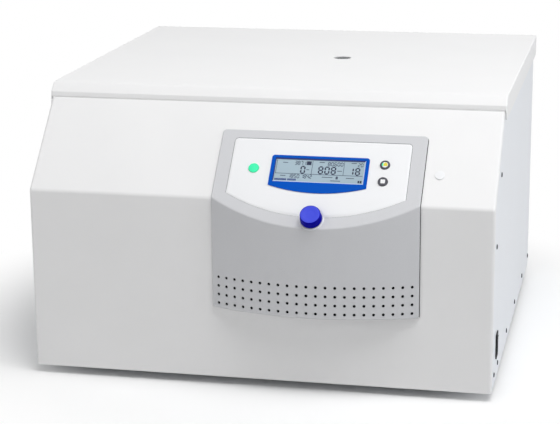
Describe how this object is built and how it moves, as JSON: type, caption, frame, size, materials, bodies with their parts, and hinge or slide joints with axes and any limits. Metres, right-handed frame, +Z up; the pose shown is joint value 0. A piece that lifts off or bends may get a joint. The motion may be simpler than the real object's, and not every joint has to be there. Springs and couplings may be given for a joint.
{
  "type": "refrigerated benchtop centrifuge",
  "caption": "Benchtop centrifuge with a cooled rotor chamber, a rear-hinged lid on gas springs, a sloped front, and a bulging control moulding with a display, keys and a knob.",
  "frame": {"origin": "on the bench below the middle of the whole machine, so z = 0 is the soles of its feet", "axes": "+Z up, +Y towards the back with the lid's hinge, +X to the right as seen from the front"},
  "size_m": [0.6552, 0.7119, 0.401],
  "materials": {
    "white_paint": "fine satin powder coat",
    "side_paint": "fine satin powder coat, faintly blue",
    "galvanised": "zinc-plated sheet",
    "bright_steel": "brushed stainless steel",
    "dark_steel": "black enamel",
    "black_rubber": "matt",
    "grey_rubber": "matt silicone",
    "foam": "moulded rigid foam",
    "copper": "drawn copper tube",
    "aluminium": "satin anodised",
    "glass": "clear, polished",
    "bezel_grey": "fine-textured moulding",
    "fascia_white": "printed polyester overlay",
    "frame_blue": "printed blue, satin",
    "screen_grey": "grey-green liquid crystal behind a clear face",
    "knob_blue": "satin blue moulding",
    "key_green": "green overlay cap",
    "key_dark": "dark ring with a light middle",
    "black_plastic": "satin black moulding",
    "board_green": "solder-mask green"
  },
  "bodies": {
    "root": {"base_plate": "galvanised", "front_panel": "white_paint", "left_side_panel": "side_paint", "right_side_panel": "side_paint", "rear_panel": "side_paint", "top_deck": "white_paint", "foot_front_left": "black_rubber", "foot_front_right": "black_rubber", "foot_rear_left": "black_rubber", "foot_rear_right": "black_rubber", "hinge_rail": "galvanised", "hinge_shaft": "bright_steel", "latch_bracket_left": "galvanised", "latch_bracket_right": "galvanised", "rotor_chamber": "bright_steel", "chamber_gasket": "grey_rubber", "insulation_jacket": "foam", "evaporator_coil": "copper", "drive_motor": "dark_steel", "motor_mount_rear": "black_rubber", "motor_mount_left": "black_rubber", "motor_mount_right": "black_rubber", "compressor": "dark_steel", "condenser": "aluminium", "fan_shroud": "black_plastic", "discharge_pipe": "copper", "power_module": "aluminium", "power_inlet": "black_plastic", "switch_frame": "black_plastic", "control_bezel": "bezel_grey", "fascia": "fascia_white", "display_frame": "frame_blue", "display_screen": "screen_grey", "control_board": "board_green"},
    "lid": {"lid_cover": "white_paint", "lid_liner": "galvanised", "lid_window": "glass", "striker_bar": "bright_steel", "hinge_leaf": "galvanised"},
    "gas_cylinder_left": {"gas_spring_cylinder_left": "dark_steel"},
    "gas_rod_left": {"gas_spring_rod_left": "bright_steel"},
    "gas_cylinder_right": {"gas_spring_cylinder_right": "dark_steel"},
    "gas_rod_right": {"gas_spring_rod_right": "bright_steel"},
    "rotor": {"motor_shaft": "bright_steel", "rotor_head": "aluminium", "rotor_nut": "dark_steel"},
    "bucket_1": {"bucket_1": "aluminium"},
    "bucket_2": {"bucket_2": "aluminium"},
    "bucket_3": {"bucket_3": "aluminium"},
    "bucket_4": {"bucket_4": "aluminium"},
    "fan": {"condenser_fan": "black_plastic"},
    "encoder": {"encoder_shaft": "bright_steel"},
    "knob": {"control_knob": "knob_blue"},
    "start_key": {"start_key": "key_green"},
    "lid_key": {"lid_key": "key_dark"},
    "stop_key": {"stop_key": "key_dark"},
    "rocker": {"switch_rocker": "black_plastic"},
    "latch_hook_left": {"latch_hook_left": "bright_steel"},
    "latch_hook_right": {"latch_hook_right": "bright_steel"},
    "release_plug": {"release_plug": "fascia_white"}
  },
  "joints": [
    {"name": "lid_hinge", "type": "hinge", "parent": "root", "child": "lid", "pos_m": [0, 0.34132, 0.378], "axis": [-1, 0, 0], "range_deg": [0, 75]},
    {"name": "gas_cylinder_left_pivot", "type": "hinge", "parent": "root", "child": "gas_cylinder_left", "pos_m": [-0.302, -0.00118, 0.3885], "axis": [1, 0, 0], "range_deg": [0, 14]},
    {"name": "gas_rod_left_stroke", "type": "slide", "parent": "gas_cylinder_left", "child": "gas_rod_left", "axis": [0, 1, 0], "range_m": [0, 0.0888]},
    {"name": "gas_cylinder_right_pivot", "type": "hinge", "parent": "root", "child": "gas_cylinder_right", "pos_m": [0.302, -0.00118, 0.3885], "axis": [1, 0, 0], "range_deg": [0, 14]},
    {"name": "gas_rod_right_stroke", "type": "slide", "parent": "gas_cylinder_right", "child": "gas_rod_right", "axis": [0, 1, 0], "range_m": [0, 0.0888]},
    {"name": "rotor_spin", "type": "hinge", "parent": "root", "child": "rotor", "pos_m": [0.049, 0.07882, 0.285], "axis": [0, 0, 1], "continuous": true},
    {"name": "bucket_1_swing", "type": "hinge", "parent": "rotor", "child": "bucket_1", "pos_m": [0.14397, 0.07882, 0.285], "axis": [0, -1, 0], "range_deg": [0, 90]},
    {"name": "bucket_2_swing", "type": "hinge", "parent": "rotor", "child": "bucket_2", "pos_m": [0.049, 0.17379, 0.285], "axis": [1, 0, 0], "range_deg": [0, 90]},
    {"name": "bucket_3_swing", "type": "hinge", "parent": "rotor", "child": "bucket_3", "pos_m": [-0.04598, 0.07882, 0.285], "axis": [0, 1, 0], "range_deg": [0, 90]},
    {"name": "bucket_4_swing", "type": "hinge", "parent": "rotor", "child": "bucket_4", "pos_m": [0.049, -0.01616, 0.285], "axis": [-1, 0, 0], "range_deg": [0, 90]},
    {"name": "fan_spin", "type": "hinge", "parent": "root", "child": "fan", "pos_m": [-0.215, 0.24742, 0.113], "axis": [0, 1, 0], "continuous": true},
    {"name": "knob_turn", "type": "hinge", "parent": "root", "child": "encoder", "pos_m": [0.0815, -0.33419, 0.24949], "axis": [0, -0.7071, 0.7071], "continuous": true},
    {"name": "knob_push", "type": "slide", "parent": "encoder", "child": "knob", "axis": [0, 0.7071, -0.7071], "range_m": [0, 0.001], "stiffness_N_per_m": 2500},
    {"name": "start_key_press", "type": "slide", "parent": "root", "child": "start_key", "axis": [0, 0.7071, -0.7071], "range_m": [0, 0.0006], "stiffness_N_per_m": 2500},
    {"name": "lid_key_press", "type": "slide", "parent": "root", "child": "lid_key", "axis": [0, 0.7071, -0.7071], "range_m": [0, 0.0006], "stiffness_N_per_m": 2500},
    {"name": "stop_key_press", "type": "slide", "parent": "root", "child": "stop_key", "axis": [0, 0.7071, -0.7071], "range_m": [0, 0.0006], "stiffness_N_per_m": 2500},
    {"name": "switch_rock", "type": "hinge", "parent": "root", "child": "rocker", "pos_m": [0.3235, -0.25668, 0.064], "axis": [0, -1, 0], "range_deg": [0, 12]},
    {"name": "latch_hook_left_turn", "type": "hinge", "parent": "root", "child": "latch_hook_left", "pos_m": [-0.148, -0.14468, 0.3377], "axis": [1, 0, 0], "range_deg": [0, 18]},
    {"name": "latch_hook_right_turn", "type": "hinge", "parent": "root", "child": "latch_hook_right", "pos_m": [0.246, -0.14468, 0.3377], "axis": [1, 0, 0], "range_deg": [0, 18]},
    {"name": "plug_pull", "type": "slide", "parent": "root", "child": "release_plug", "axis": [0, -0.7071, 0.7071], "range_m": [0, 0.03]}
  ],
  "couplings": [
    {"joint": "gas_cylinder_left_pivot", "follows": "lid_hinge", "ratio": 0.18582},
    {"joint": "gas_rod_left_stroke", "follows": "lid_hinge", "m_per_rad": 0.067739},
    {"joint": "gas_cylinder_right_pivot", "follows": "lid_hinge", "ratio": 0.18582},
    {"joint": "gas_rod_right_stroke", "follows": "lid_hinge", "m_per_rad": 0.067739},
    {"joint": "latch_hook_right_turn", "follows": "latch_hook_left_turn", "ratio": 1}
  ]
}
